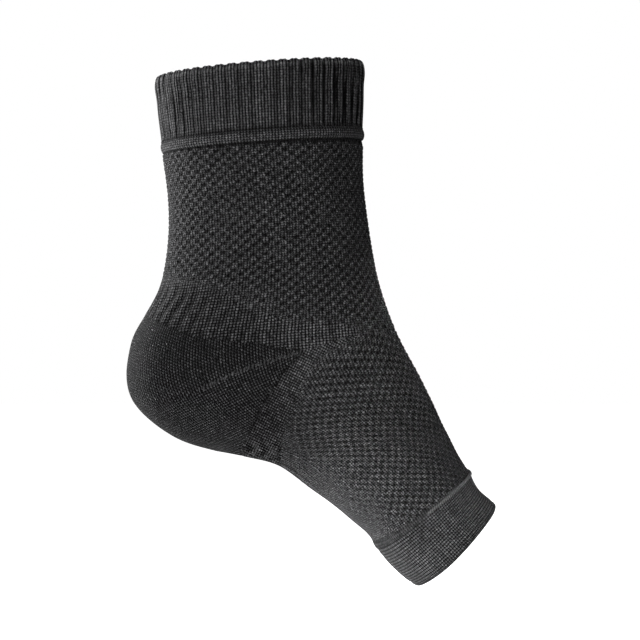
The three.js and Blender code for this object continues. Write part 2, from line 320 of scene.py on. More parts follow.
class KnitColours(bpy.types.PropertyGroup):
    """Colours of the yarn in each zone."""

    top_cuff: yarn_colour("Top cuff", 0.06)
    hem: yarn_colour("Hem band", 0.0773)
    leg: yarn_colour("Leg panel", 0.079)
    instep: yarn_colour("Instep panel", 0.113)
    band: yarn_colour("Ankle band", 0.0699)
    heel: yarn_colour("Heel pocket", 0.0344)
    border: yarn_colour("Foot border", 0.073)
    foot_cuff: yarn_colour("Foot cuff", 0.0735)
    thread: yarn_colour("Stitches", 0.066)


class StudioSizes(bpy.types.PropertyGroup):
    """Camera and backdrop."""

    distance: in_mm("Distance", "Camera to the middle of the sleeve", 1050)
    view_width: in_mm("View width", "Width seen at the middle of the sleeve", 268.8)
    floor_drop: in_mm("Floor drop", "Floor below the toe edge", 60)


class AnkleSupportSettings(bpy.types.PropertyGroup):
    """All settings of the ankle support."""

    sizes: bpy.props.PointerProperty(type=SleeveSizes)
    knit: bpy.props.PointerProperty(type=KnitSizes)
    colours: bpy.props.PointerProperty(type=KnitColours)
    studio: bpy.props.PointerProperty(type=StudioSizes)


def settings():
    return bpy.context.scene.ankle_support


# Curves, fades and waves


def spline(before, start, end, after, part):
    """A smooth run from start to end that heeds the points before and after them."""
    curve = 2 * before - 5 * start + 4 * end - after
    twist = 3 * (start - end) + after - before
    return start + 0.5 * part * (end - before + part * (curve + part * twist))


def ease(value, low, high):
    """A smooth step from 0 at low to 1 at high."""
    part = np.clip((value - low) / (high - low), 0, 1)
    return part * part * (3 - 2 * part)


def fade(name, value):
    """How far a length has come between the two places of that fade."""
    low, high = FADES[name]
    return ease(value, low * MM, high * MM)


def ridge(gap, width):
    """1 where the gap is nought, and next to nothing at twice the width."""
    return np.exp(-((gap / width) ** 2))


def line(name, gap):
    return ridge(gap, WIDTHS[name] * MM)


def wave(turns):
    return np.cos(TURN * turns)


def wander(points, name):
    """A soft random field between about -1 and 1, made of a few slow waves."""
    size, seed = WANDERS[name]
    dice = np.random.default_rng(seed)
    field = np.zeros(points.shape[:-1])
    for _ in range(6):
        direction = dice.normal(size=3)
        direction *= TURN / (size * MM) / np.linalg.norm(direction) * dice.uniform(0.7, 1.4)
        field += np.sin(points @ direction + dice.uniform(0, TURN))
    return field / 3


def swells(points):
    """How far the worn knit stands out at each point, on top of its sections."""
    out = np.zeros(points.shape[:-1])
    for row in SWELLS.values():
        swell = dict(zip(SWELL_COLUMNS, row))
        gap = np.hypot(points[..., 0] - swell["x"] * MM, points[..., 2] - swell["z"] * MM)
        out += swell["height"] * MM * ridge(gap, swell["reach"] * MM)
    return out


# The skin of the sleeve


def column(name, stations):
    """A smooth run through one column of the sections: station 0 is the rim and 1 the toe edge."""
    values = np.array([row[SECTION_COLUMNS.index(name)] for row in SECTIONS.values()])
    last = len(values) - 1
    place = np.clip(stations, 0, 1) * last
    row = np.minimum(place.astype(int), last - 1)
    run = np.concatenate(([2 * values[0] - values[1]], values, [2 * values[-1] - values[-2]]))
    return spline(run[row], run[row + 1], run[row + 2], run[row + 3], place - row)


def section_ends(stations):
    """The front end and the back end of each section, seen from the side."""
    scale = np.array([settings().sizes.length, settings().sizes.height])
    return [
        np.stack([column(end + "_x", stations), column(end + "_z", stations)], -1) * scale
        for end in ("front", "back")
    ]


def skin_points(stations, angles):
    """Points of the skin: angle 0 is the front of a section and a quarter turn its +Y side."""
    front, back = section_ends(stations)
    middle = (front + back) / 2
    axis = (front - back) / 2
    half_depth = np.hypot(axis[..., 0], axis[..., 1])
    half_width = column("width", stations) * settings().sizes.width / 2
    along, across = np.cos(angles), np.sin(angles)
    bluntness = np.where(along > 0, column("front_round", stations), column("back_round", stations))
    reach = np.abs(along / half_depth) ** bluntness + np.abs(across / half_width) ** bluntness
    reach = reach ** (-1 / bluntness)
    share = reach * along / half_depth
    return np.stack(
        [middle[..., 0] + share * axis[..., 0], reach * across, middle[..., 1] + share * axis[..., 1]], -1
    )


def unit(vectors):
    return vectors / np.linalg.norm(vectors, axis=-1, keepdims=True)


def middle_line():
    """Stations along the sleeve and their distance from the rim along the middle line."""
    stations = np.linspace(0, 1, LINE_STATIONS)
    front, back = section_ends(stations)
    steps = np.linalg.norm(np.diff((front + back) / 2, axis=0), axis=1)
    return stations, np.concatenate(([0], np.cumsum(steps)))


def zone_ends():
    """Distances from the rim at which the zones that go straight round begin and end."""
    sizes = settings().sizes
    toe_edge = middle_line()[1][-1]
    foot_cuff = toe_edge - sizes.foot_cuff_length
    hem = sizes.top_cuff_height
    return {
        "hem": hem,
        "panels": hem + sizes.hem_height,
        "border": foot_cuff - sizes.border_width,
        "foot_cuff": foot_cuff,
        "toe_edge": toe_edge,
    }


class Skin:
    """Points and outward normals on a grid: one row for each distance from the rim, with the
    columns at even shares of the girth."""

    def __init__(self, distances, around):
        stations, lengths = middle_line()
        at = np.interp(distances, lengths, stations)[:, None]
        self.distances = np.asarray(distances)[:, None]
        self.shares = np.arange(around) / around
        fine = np.linspace(0, TURN, FINE_ANGLES + 1)
        loops = skin_points(at, fine[None, :])
        runs = np.linalg.norm(np.diff(loops, axis=1), axis=2).cumsum(axis=1)
        runs = np.concatenate([np.zeros((len(runs), 1)), runs], axis=1)
        angles = np.stack([np.interp(self.shares * run[-1], run, fine) for run in runs])
        self.girths = runs[:, -1]
        self.points = skin_points(at, angles)
        lower = np.clip(at - SLOPE_STEP, 0, 1)
        upper = np.clip(at + SLOPE_STEP, 0, 1)
        down = skin_points(upper, angles) - skin_points(lower, angles)
        turn = skin_points(at, angles + SLOPE_STEP) - skin_points(at, angles - SLOPE_STEP)
        self.normals = unit(np.cross(down, turn))
        self.down = unit(down)

    def moved(self, out):
        return self.points + self.normals * np.asarray(out)[..., None]


# Outlines seen from the side


def smooth_outline(rows, closed=True, steps=OUTLINE_STEPS):
    """Points along a smooth curve through the rows, in metres."""
    sizes = settings().sizes
    points = np.array(rows) * (sizes.length, sizes.height)
    if closed:
        run = np.concatenate([points[-1:], points, points[:2]])
    else:
        run = np.concatenate([2 * points[:1] - points[1:2], points, 2 * points[-1:] - points[-2:-1]])
    part = np.linspace(0, 1, steps, endpoint=False)[:, None]
    pieces = [spline(*four, part) for four in zip(run, run[1:], run[2:], run[3:])]
    if not closed:
        pieces.append(points[-1:])
    return np.concatenate(pieces)


def distance_to_line(places, outline, closed=True):
    """Distance from each place to the nearest point of a line, and how far along it that lies."""
    starts, ends = outline, np.roll(outline, -1, axis=0)
    if not closed:
        starts, ends = outline[:-1], outline[1:]
    best = np.full(len(places), np.inf)
    along = np.zeros(len(places))
    walked = 0.0
    for start, end in zip(starts, ends):
        side = end - start
        length = np.hypot(*side)
        share = np.clip((places - start) @ side / length**2, 0, 1)
        gap = np.hypot(*(places - start - share[:, None] * side).T)
        nearer = gap < best
        best = np.where(nearer, gap, best)
        along = np.where(nearer, walked + share * length, along)
        walked += length
    return best, along


def inside_outline(places, outline):
    inside = np.zeros(len(places), bool)
    for start, end in zip(outline, np.roll(outline, -1, axis=0)):
        rising = (start[1] > places[:, 1]) != (end[1] > places[:, 1])
        run = (end[0] - start[0]) * (places[:, 1] - start[1]) / (end[1] - start[1] + 1e-15)
        inside ^= rising & (places[:, 0] < start[0] + run)
    return inside


def signed_distance(places, outline):
    """Distance to a closed outline, more than nought inside it."""
    gap = distance_to_line(places, outline)[0]
    return np.where(inside_outline(places, outline), gap, -gap)


def row_distance(points, origin, slope):
    """How far down each point lies from the origin, square to rows of the given slope."""
    angle = math.radians(slope)
    down = np.array([math.sin(angle), -math.cos(angle)])
    return (points[..., [0, 2]] - origin) @ down


# Meshes


def make_piece(node, vertices, faces, uvs, relief, material):
    """A mesh object on the sleeve's body, in place of its node, with its stitch UVs and its tone per point
    as the relief attribute, painted shade and painted light included.
    """
    mesh = bpy.data.meshes.new(node)
    mesh.from_pydata(vertices.tolist(), [], faces)
    mesh.polygons.foreach_set("use_smooth", np.ones(len(mesh.polygons), bool))
    layer = mesh.uv_layers.new(name="stitches")
    layer.uv.foreach_set("vector", np.asarray(uvs, np.float32).ravel())
    attribute = mesh.attributes.new("relief", "FLOAT", "POINT")
    attribute.data.foreach_set("value", np.asarray(relief, np.float32).ravel())
    mesh.update()
    piece = bpy.data.objects.new(node, mesh)
    bpy.context.scene.collection.objects.link(piece)
    mesh.materials.append(material)
    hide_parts(node)
    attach(piece, "root")
    return piece


def wall_piece(node, loops, stitches, relief, material):
    """A closed wall that goes right round. loops holds one row of points for each line of its closed
    section, down the outside and back up the inside. stitches gives each row's place in courses, and relief
    one tone for each point, painted shade and painted light included."""
    rows, around = loops.shape[:2]
    faces, uvs = [], []
    courses = np.append(stitches, stitches[-1])
    wales = np.arange(around + 1) / around * (settings().knit.cells_round * STITCHES_PER_CELL)
    for row in range(rows):
        here, below = row * around, ((row + 1) % rows) * around
        low, high = courses[row], courses[row + 1]
        for index in range(around):
            beside = (index + 1) % around
            faces.append((here + index, below + index, below + beside, here + beside))
            left, right = wales[index], wales[index + 1]
            uvs.extend(((left, low), (left, high), (right, high), (right, low)))
    return make_piece(node, loops.reshape(-1, 3), faces, uvs, relief, material)


# The panels, knitted as one skin and parted by zone

LEG, INSTEP, BAND, HEEL_TOP, HEEL_SOLE, ARCH = range(6)


class Panels:
    """The skin of all panels: where its points lie among the lines of the knit, and how much of
    each zone they hold."""

    def __init__(self):
        sizes, self.knit = settings().sizes, settings().knit
        self.ends = zone_ends()
        rings = 2 * round((self.ends["border"] - self.ends["panels"]) / PANEL_STEP / 2)
        self.skin = Skin(np.linspace(self.ends["panels"], self.ends["border"], rings + 1), PANEL_AROUND)
        self.points = self.skin.points
        self.x, self.z = self.points[..., 0], self.points[..., 2]
        self.shares = self.skin.shares[None, :]
        self.from_sole = np.abs(self.shares - 0.5)
        self.find_lines()
        self.heel = fade("heel zone", self.in_heel)
        self.band = fade("band zone", self.in_band) * (1 - self.heel)
        self.instep = fade("instep zone", self.below_last_row) * (1 - self.band) * (1 - self.heel)
        self.leg = 1 - self.heel - self.band - self.instep
        self.cells = self.shares * self.knit.cells_round + 0 * self.x
        self.leg_rows = self.rows_from("panels", LEG_ROW_SLOPE) / self.knit.leg_row_pitch
        self.instep_rows = self.rows_from("border", INSTEP_ROW_SLOPE) / self.knit.instep_row_pitch
        self.upright = 1 - fade("ribs stop at the mitre", self.in_arch)
        self.raised = self.tufts()
        self.groove = self.band_ribs()
        self.find_seams()
        self.outer = self.skin.moved(self.relief())
        self.inner = self.skin.moved(np.full(self.x.shape, -sizes.panel_wall))
        self.tones = self.light_and_dark()
        self.zone = self.zones()
        self.courses, self.wales = self.stitch_places()

    def girth_fade(self, name):
        return ease(self.from_sole, *GIRTH_FADES[name])

    def rows_from(self, end, slope):
        """Distance from the row through the front of one end of the panels."""
        station = np.interp(self.ends[end], *middle_line()[::-1])
        return row_distance(self.points, section_ends(np.array([station]))[0][0], slope)

    def find_lines(self):
        """Distances to the outlines of the zones, to the last row of the leg and to the gathers."""
        shape = self.x.shape
        places = self.points[..., [0, 2]].reshape(-1, 2)
        scale = np.array([settings().sizes.length, settings().sizes.height])
        band_tip, heel_tip = np.array(BAND_TIP) * scale, np.array(HEEL_TIP) * scale
        mitre = band_tip - heel_tip
        mitre_slope = math.degrees(math.atan2(mitre[1], mitre[0]))
        self.in_band = signed_distance(places, smooth_outline(BAND_OUTLINE)).reshape(shape)
        self.in_heel = signed_distance(places, smooth_outline(HEEL_OUTLINE)).reshape(shape)
        self.below_last_row = row_distance(self.points, band_tip, LEG_ROW_SLOPE)
        self.in_arch = row_distance(self.points, heel_tip, mitre_slope)
        gap, along = distance_to_line(places, smooth_outline(GORE_LINE, closed=False), closed=False)
        self.gore_gap, self.gore_along = gap.reshape(shape), along.reshape(shape)
        gore_x, gore_z = (np.array(GORE_LINE)[::-1] * scale).T
        self.below_gore = np.interp(self.x, gore_x, gore_z) - self.z

    def tufts(self):
        """The bird's-eye tufts of the leg and the instep, from 0 in a gap to 1 on a tuft."""
        leg_tufts = 0.6 * wave(self.cells + self.leg_rows) + 0.4 * wave(self.cells - self.leg_rows)
        instep_tufts = wave(self.cells + self.instep_rows) + wave(self.cells - self.instep_rows)
        uneven = 1 + (0.45 - 0.25 * self.instep) * wander(self.points, "tufts")
        clear_of_band = fade("tufts clear of the band", -self.in_band)
        on_sole = 1 - self.girth_fade("tufts clear of the sole")
        on_sole = on_sole * fade("tufts flatten on the sole", self.below_last_row)
        clear_of_back = self.girth_fade("tufts clear of the back")
        tufts = self.leg * leg_tufts * (0.25 + 0.75 * clear_of_band) * (0.55 + 0.45 * clear_of_back)
        on_instep = self.instep * (0.35 + 0.65 * clear_of_band) * (1 - 0.85 * on_sole)
        tufts = tufts + on_instep * 0.5 * instep_tufts
        level = TUFT_LEVEL + TUFT_CONTRAST * tufts * uneven + TUFT_FILL_ON_SOLE * self.instep * on_sole
        return ease(level, 0, 1)

    def band_ribs(self):
        """The fine grooves of the ankle band, which end at the mitre with the arch."""
        bent = self.cells + RIB_BEND * fade("ribs bend near the heel", self.in_heel)
        groove = ridge(np.abs((bent % 1) - 0.5) - 0.5, RIB_WIDTH)
        groove = groove * self.upright * fade("ribs deepen in the band", self.in_band)
        weaker = 0.5 * fade("ribs weaken forwards", self.x)
        return groove * (1 - weaker + 0.25 * wander(self.points, "band ribs"))

    def find_seams(self):
        """The seam round the heel, its gathers, the crease under the hem with its painted shadow and the
        folds of the sole with their painted shade.
        """
        seam = 0.35 + 0.65 * fade("heel seam past the mitre", self.in_arch)
        seam = line("heel seam", self.in_heel) * seam * fade("heel seam from the back", self.x)
        self.heel_seam = seam * (1 - 0.7 * fade("heel seam down to the sole", -self.z))
        self.seam_beat = 0.5 + 0.5 * wave(self.z / SEAM_STITCH)
        gathers = line("gathers", self.gore_gap) * (1 - fade("gathers end", self.gore_along)) * self.heel
        self.gathers = gathers * (0.6 + 0.4 * wave(self.gore_along / GATHER_STITCH))
        # The crease under the hem is a real dip, and it also carries a painted shadow of the hem's overhang,
        # wider at the front.
        from_hem = self.skin.distances - self.ends["panels"] - HEM_OVERHANG
        crease_width = (1.1 + 0.6 * wave(self.shares)) * MM
        self.crease = 1 - ease(from_hem, 0.5 * crease_width, 1.6 * crease_width)
        self.last_row = line("last row", self.below_last_row) * (1 - self.band) * (1 - self.heel)
        reach = fade("folds begin", self.x) * (1 - fade("folds end", self.x))
        reach = reach * (1 - fade("folds above the sole", self.z))
        on_sole = 1 - self.girth_fade("folds beside the sole")
        self.folds = on_sole * reach * np.sin(TURN * self.shares * FOLDS_ROUND)

    def relief(self):
        """How far the knit stands out of the skin, in metres."""
        to_border = line("rise to the border", self.ends["border"] - self.skin.distances)
        tufts = (self.leg + self.instep) * (self.raised - TUFT_REST_LEVEL) * self.knit.tuft_height
        ribs = self.band * self.groove * self.knit.band_rib_depth
        lines = (
            HEIGHTS["rise to the border"] * to_border
            - (HEIGHTS["heel seam"] + HEIGHTS["seam stitches"] * self.seam_beat) * self.heel_seam
            + HEIGHTS["gathers"] * self.gathers
            - HEIGHTS["last row"] * self.last_row
            + HEIGHTS["folds"] * self.folds
            + HEIGHTS["uneven panels"] * wander(self.points, "panels")
            - HEIGHTS["heel"] * self.heel
            - HEIGHTS["crease"] * self.crease
        )
        return tufts - ribs + lines * MM + swells(self.points)

    def light_and_dark(self):
        """How light the yarn is painted at each point, where 1 is its own colour: its own pattern and zone
        tones, with painted shade under the hem, on the folds, the arch, the sole, the band grooves and the
        instep's front, and painted light on the front half and the sole forwards.
        """
        # The instep's front, which faces away from the key lamp, is painted darker: painted shade.
        painted_shade_on_instep_front = TONES["painted shade on the instep front"] * ease(wave(self.shares), 0.2, 0.95)
        tuft_tone = (self.leg + self.instep * (1 - painted_shade_on_instep_front)) * self.raised
        # The arch is painted darker, and more so towards the sole: painted shade.
        arch = TONES["arch"] + TONES["painted shade down the arch"] * fade("painted shade deepens down the arch", -self.z)
        forwards = TONES["band forwards"] * fade("band lightens forwards", self.x)
        band_tone = 1 + forwards - arch * (1 - self.upright)
        # The band's grooves are painted darker: painted shade.
        band_tone = band_tone * (1 - TONES["painted shade in the band grooves"] * self.groove)
        heel_tone = TONES["heel"] + TONES["heel forwards"] * fade("heel lightens forwards", self.x)
        at_mitre = 1 - fade("edge of the heel", self.in_heel)
        at_mitre = at_mitre * (1 - fade("heel beside the mitre", self.in_arch))
        heel_tone = heel_tone - TONES["heel at the mitre"] * at_mitre + TONES["gathers"] * self.gathers
        seam_tone = (TONES["heel seam"] + TONES["seam stitches"] * self.seam_beat) * self.heel_seam
        tone = tuft_tone + self.band * band_tone + self.heel * heel_tone
        # The folds of the sole are painted lighter on their ridges and darker in their troughs: painted
        # shade.
        tone = tone + TONES["folds"] * self.folds - seam_tone
        # Painted shadow under the hem's overhang.
        tone = tone * (1 - TONES["crease"] * self.crease)
        beside = TONES["heel beside the band"] * self.heel - TONES["band beside the heel"] * self.band
        tone = tone * (1 + line("beside the heel", self.in_heel) * beside)
        # The front half above the foot is painted lighter: painted light.
        tone = tone * (1 + TONES["painted light on the front half"] * fade("painted light on the front half", self.x) * fade("above the foot", self.z))
        from_arch = np.hypot(self.x - ARCH_SHADE_PLACE[0], self.z - ARCH_SHADE_PLACE[1])
        tone = tone * (1 - TONES["arch shade"] * line("arch shade", from_arch))
        # The sole is painted darker, which is painted shade, and lighter again towards the front, which is
        # painted light.
        on_sole = self.instep * (1 - self.girth_fade("shade beside the sole"))
        forwards = TONES["painted light on the sole forwards"] * fade("painted light grows forwards on the sole", self.x)
        return tone * (1 + on_sole * (forwards - TONES["sole"]))

    def zones(self):
        heel = np.where(self.below_gore > 0, HEEL_SOLE, HEEL_TOP)
        band = np.where(self.in_arch > 0, ARCH, BAND)
        rest = np.where(self.below_last_row > 0, INSTEP, LEG)
        return np.where(self.in_heel > 0, heel, np.where(self.in_band > 0, band, rest))

    def stitch_places(self):
        """The course and the wale of every point, for each zone."""
        middle = np.array([0, 0])
        leg_courses = self.leg_rows * STITCHES_PER_CELL
        courses = {
            LEG: leg_courses,
            INSTEP: self.instep_rows * STITCHES_PER_CELL,
            BAND: leg_courses * BAND_COURSE_SHARE,
            HEEL_TOP: row_distance(self.points, middle, HEEL_TOP_ROW_SLOPE) / HEEL_COURSE,
            HEEL_SOLE: row_distance(self.points, middle, HEEL_SOLE_ROW_SLOPE) / HEEL_COURSE,
            ARCH: row_distance(self.points, middle, ARCH_RUNG_SLOPE + 90) / ARCH_COURSE,
        }
        rows, around = self.x.shape
        wales_round = np.arange(around + 2) / around * self.knit.cells_round * STITCHES_PER_CELL
        plain = np.broadcast_to(wales_round, (rows, around + 2))
        arch = row_distance(self.points, middle, ARCH_RUNG_SLOPE) / ARCH_WALE
        wales = {zone: plain for zone in (LEG, INSTEP, BAND)}
        wales.update({zone: plain * HEEL_WALE_SHARE for zone in (HEEL_TOP, HEEL_SOLE)})
        wales[ARCH] = np.concatenate([arch, arch[:, :2]], axis=1)
        return courses, wales


PANEL_CACHE = {}


def panels():
    """The panels for the present settings, worked out once for all the pieces that share them."""
    groups = (settings().sizes, settings().knit)
    key = tuple(getattr(group, name) for group in groups for name in type(group).__annotations__)
    if key not in PANEL_CACHE:
        PANEL_CACHE.clear()
        PANEL_CACHE[key] = Panels()
    return PANEL_CACHE[key]


def panel_piece(node, zones, material):
    """One panel as a closed wall: the squares of the skin whose middle lies in its zones, with a
    coarser inside of one square for every two by two, and side walls between them."""
    skin = panels()
    rows, around = skin.zone.shape
    mine = np.isin(skin.zone[1:rows - 1:2, 1::2], zones)
    high, wide = mine.shape
    block_rows, block_columns = np.nonzero(mine)

    use_outer, use_inner = np.zeros((2, rows, around), bool)
    for down in range(3):
        for side in range(3):
            corners = block_rows * 2 + down, (block_columns * 2 + side) % around
            use_outer[corners] = True
            if down != 1 and side != 1:
                use_inner[corners] = True
    outer_id, inner_id = np.full((2, rows, around), -1)
    outer_id[use_outer] = np.arange(use_outer.sum())
    inner_id[use_inner] = use_outer.sum() + np.arange(use_inner.sum())
    vertices = np.concatenate([skin.outer[use_outer], skin.inner[use_inner]])
    relief = np.concatenate([skin.tones[use_outer], np.full(use_inner.sum(), INSIDE_TONE)])

    faces, uvs = [], []
    for row, column_at in zip(block_rows, block_columns):
        top, left = row * 2, column_at * 2
        low, right = top + 2, left + 2
        zone = skin.zone[top + 1, left + 1]
        course, wale = skin.courses[zone], skin.wales[zone]

        def add_square(points, ids):
            faces.append([ids[down, side % around] for down, side in points])
            uvs.extend((wale[down, side], course[down, side % around]) for down, side in points)

        for down in (top, top + 1):
            for side in (left, left + 1):
                square = (down, side), (down + 1, side), (down + 1, side + 1), (down, side + 1)
                add_square(square, outer_id)
        add_square(((top, left), (top, right), (low, right), (low, left)), inner_id)
        sides = (
            (row - 1, column_at, (top, right), (top, left + 1), (top, left)),
            (row + 1, column_at, (low, left), (low, left + 1), (low, right)),
            (row, column_at - 1, (top, left), (top + 1, left), (low, left)),
            (row, column_at + 1, (low, right), (top + 1, right), (top, right)),
        )
        for other_row, other_column, *edge in sides:
            if 0 <= other_row < high and mine[other_row, other_column % wide]:
                continue
            first, middle, last = [(down, side % around) for down, side in edge]
            faces.append((outer_id[first], inner_id[first], outer_id[middle]))
            faces.append((outer_id[middle], inner_id[first], inner_id[last]))
            faces.append((outer_id[middle], inner_id[last], outer_id[last]))
            uvs.extend([(wale[top, left], course[top, left])] * 9)
    return make_piece(node, vertices, faces, uvs, relief, material)


# Materials


class NodeBench:
    """Adds nodes to one tree and joins them, with sockets or plain values as inputs."""

    def __init__(self, tree):
        self.tree = tree

    def feed(self, socket, value):
        if isinstance(value, bpy.types.NodeSocket):
            self.tree.links.new(value, socket)
        else:
            socket.default_value = value

    def feed_all(self, sockets, inputs):
        for key, value in inputs.items():
            self.feed(sockets[key], value)

    def node(self, kind, inputs=None, **choices):
        """A node with its choices set and its inputs fed, by their names or places."""
        made = self.tree.nodes.new(kind)
        for key, value in choices.items():
            setattr(made, key, value)
        self.feed_all(made.inputs, inputs or {})
        return made

    def math(self, operation, *values, clamp=False):
        inputs = dict(enumerate(values))
        return self.node("ShaderNodeMath", inputs, operation=operation, use_clamp=clamp).outputs[0]

    def vector(self, operation, inputs):
        return self.node("ShaderNodeVectorMath", inputs, operation=operation).outputs[0]


def new_group(name, kind, inputs, outputs):
    """An empty node group with its bench and its given values. Inputs have a name, a kind of
    socket and a default, and outputs a name and a kind."""
    tree = bpy.data.node_groups.new(name, kind)
    for label, socket_kind, default in inputs:
        socket = tree.interface.new_socket(name=label, in_out="INPUT", socket_type=socket_kind)
        if default is not None:
            socket.default_value = default
    for label, socket_kind in outputs:
        tree.interface.new_socket(name=label, in_out="OUTPUT", socket_type=socket_kind)
    bench = NodeBench(tree)
    return bench, bench.node("NodeGroupInput").outputs


# How each knit looks. slant leans the stitches, mesh fills the ground between them, wale and course sharpen
# them, wobble and uneven make them irregular, streak parts light wales from dark ones, fibre is the heather
# of the yarn, hollow the tone left where the relief attribute, with its painted shade, is lowest, and bump
# their height in mm.
STITCH_COLUMNS = ("slant", "mesh", "wale", "course", "wobble", "uneven", "streak")
FINISH_COLUMNS = STITCH_COLUMNS + ("fibre", "hollow", "bump")
FINISHES = {
    "ribbed cuff knit": (0.4, 0.1, 2.2, 0.7, 0.3, 0.45, 0.45, 0.9, 0.04, 0.6),
    "plain hem knit": (0.5, 0.1, 1.6, 1.5, 0.4, 0.7, 0.1, 0.9, 0.05, 0.5),
    "leg bird's-eye knit": (0.4, 0.1, 1.4, 1.3, 1.2, 0.4, 0.0, 1.5, 0.06, 0.8),
    "instep bird's-eye knit": (0.5, 0.1, 1.4, 1.4, 1.0, 0.4, 0.0, 1.4, 0.05, 0.8),
    "ankle fine rib knit": (0.3, 0.05, 1.8, 1.5, 0.4, 0.55, 0.4, 1.4, 0.12, 0.7),
    "heel knit": (0.6, 0.0, 1.9, 1.9, 0.3, 0.6, 0.2, 1.7, 0.2, 0.7),
    "border knit": (0.6, 0.3, 1.0, 1.0, 0.3, 0.8, 0.0, 0.5, 0.1, 0.3),
    "plain cuff knit": (0.2, 0.1, 1.3, 1.5, 0.2, 0.6, 0.3, 0.7, 0.25, 0.5),
}
SWAY_SCALE = 450
FIBRE_SCALE = 1250
CLOUD_SCALE = 55
STITCH_GAIN = 1.9
STITCH_GAP = 0.15
HOLE_SOFTNESS = 0.45


def stitch_group():
    """Knitted stitches in UV space, one wale to each U and one course to each V. Strokes are
    short bright dashes on dark ground. Mesh is bright yarn with a dark dot between stitches."""
    known = bpy.data.node_groups.get("knitted stitches")
    if known:
        return known
    inputs = [(each.capitalize(), "NodeSocketFloat", 0.5) for each in STITCH_COLUMNS]
    outputs = [("Height", "NodeSocketFloat"), ("Tone", "NodeSocketFloat")]
    bench, given = new_group("knitted stitches", "ShaderNodeTree", inputs, outputs)
    math_node = bench.math
    place = bench.node("ShaderNodeTexCoord").outputs["Object"]
    noise = bench.node("ShaderNodeTexNoise", {"Vector": place, "Scale": SWAY_SCALE, "Detail": 1})
    centred = bench.vector("SUBTRACT", {0: noise.outputs["Color"], 1: (0.5, 0.5, 0.5)})
    sway = bench.vector("SCALE", {0: centred, "Scale": given["Wobble"]})
    uv = bench.node("ShaderNodeUVMap", uv_map="stitches").outputs[0]
    swayed = bench.node("ShaderNodeSeparateXYZ", {0: bench.vector("ADD", {0: uv, 1: sway})}).outputs
    side = math_node("ABSOLUTE", math_node("SUBTRACT", math_node("FRACT", swayed[0]), 0.5))
    slanted = math_node("MULTIPLY_ADD", side, math_node("MULTIPLY", given["Slant"], 2.0), swayed[1])
    wale = math_node("MAXIMUM", math_node("COSINE", math_node("MULTIPLY", side, math.pi)), 0.0)
    half_turns = math_node("MULTIPLY", math_node("FRACT", slanted), math.pi)
    course = math_node("MAXIMUM", math_node("SINE", half_turns), 0.0)
    sharp_wale = math_node("POWER", wale, given["Wale"])
    stroke = math_node("MULTIPLY", sharp_wale, math_node("POWER", course, given["Course"]))
    hole = math_node("MULTIPLY", math_node("SUBTRACT", 1.0, wale), math_node("SUBTRACT", 1.0, course))
    yarn = math_node("SUBTRACT", 1.0, math_node("POWER", hole, HOLE_SOFTNESS))
    filling = math_node("SUBTRACT", yarn, stroke)
    height = math_node("MULTIPLY_ADD", filling, given["Mesh"], stroke, clamp=True)
    wale_number = math_node("FLOOR", swayed[0])
    stitch = bench.node("ShaderNodeCombineXYZ", {0: wale_number, 1: math_node("FLOOR", slanted)})
    dice = bench.node("ShaderNodeTexWhiteNoise", noise_dimensions="2D")
    bench.feed(dice.inputs["Vector"], stitch.outputs[0])
    tone = math_node("SUBTRACT", dice.outputs["Value"], 0.5)
    tone = math_node("MULTIPLY_ADD", tone, given["Uneven"], 1.0)
    wale_dice = bench.node("ShaderNodeTexWhiteNoise", noise_dimensions="1D")
    bench.feed(wale_dice.inputs["W"], wale_number)
    streak = math_node("SUBTRACT", wale_dice.outputs["Value"], 0.5)
    tone = math_node("MULTIPLY", tone, math_node("MULTIPLY_ADD", streak, given["Streak"], 1.0))
    bench.node("NodeGroupOutput", {0: height, 1: tone})
    return bench.tree


def heather_group():
    """Heathered yarn: light and dark fibres and slow changes of tone over the cloth."""
    known = bpy.data.node_groups.get("heathered yarn")
    if known:
        return known
    inputs = (
        ("Colour", "NodeSocketColor", (0.05, 0.05, 0.05, 1)),
        ("Fibre Contrast", "NodeSocketFloat", 0.5),
    )
    outputs = [("Colour", "NodeSocketColor"), ("Fibre", "NodeSocketFloat")]
    bench, given = new_group("heathered yarn", "ShaderNodeTree", inputs, outputs)
    place = bench.node("ShaderNodeTexCoord").outputs["Object"]

    def speckle(scale):
        inputs = {"Vector": place, "Scale": scale, "Detail": 2, "Roughness": 0.6}
        return bench.math("SUBTRACT", bench.node("ShaderNodeTexNoise", inputs).outputs[0], 0.5)

    fibre, cloud = speckle(FIBRE_SCALE), speckle(CLOUD_SCALE)
    contrast = bench.math("MULTIPLY", given["Fibre Contrast"], 4.0)
    tone = bench.math("MULTIPLY_ADD", fibre, contrast, 1.0)
    tone = bench.math("MULTIPLY_ADD", cloud, 0.35, tone)
    tone = bench.math("MAXIMUM", tone, 0.25)
    colour = bench.vector("SCALE", {0: given["Colour"], "Scale": tone})
    bench.node("NodeGroupOutput", {0: colour, 1: fibre})
    return bench.tree


def yarn_material(name, colour, contrast):
    """A new material of heathered yarn: its bench, its shader's inputs and the yarn's outputs."""
    material = bpy.data.materials.new(name)
    material.use_nodes = True
    bench = NodeBench(material.node_tree)
    inputs = {"Colour": (*colour, 1), "Fibre Contrast": contrast}
    yarn = bench.node("ShaderNodeGroup", inputs, node_tree=heather_group()).outputs
    shader = material.node_tree.nodes["Principled BSDF"].inputs
    bench.feed_all(shader, {"Specular IOR Level": 0.03, "Sheen Weight": 0.04, "Sheen Roughness": 0.4})
    return material, bench, shader, yarn


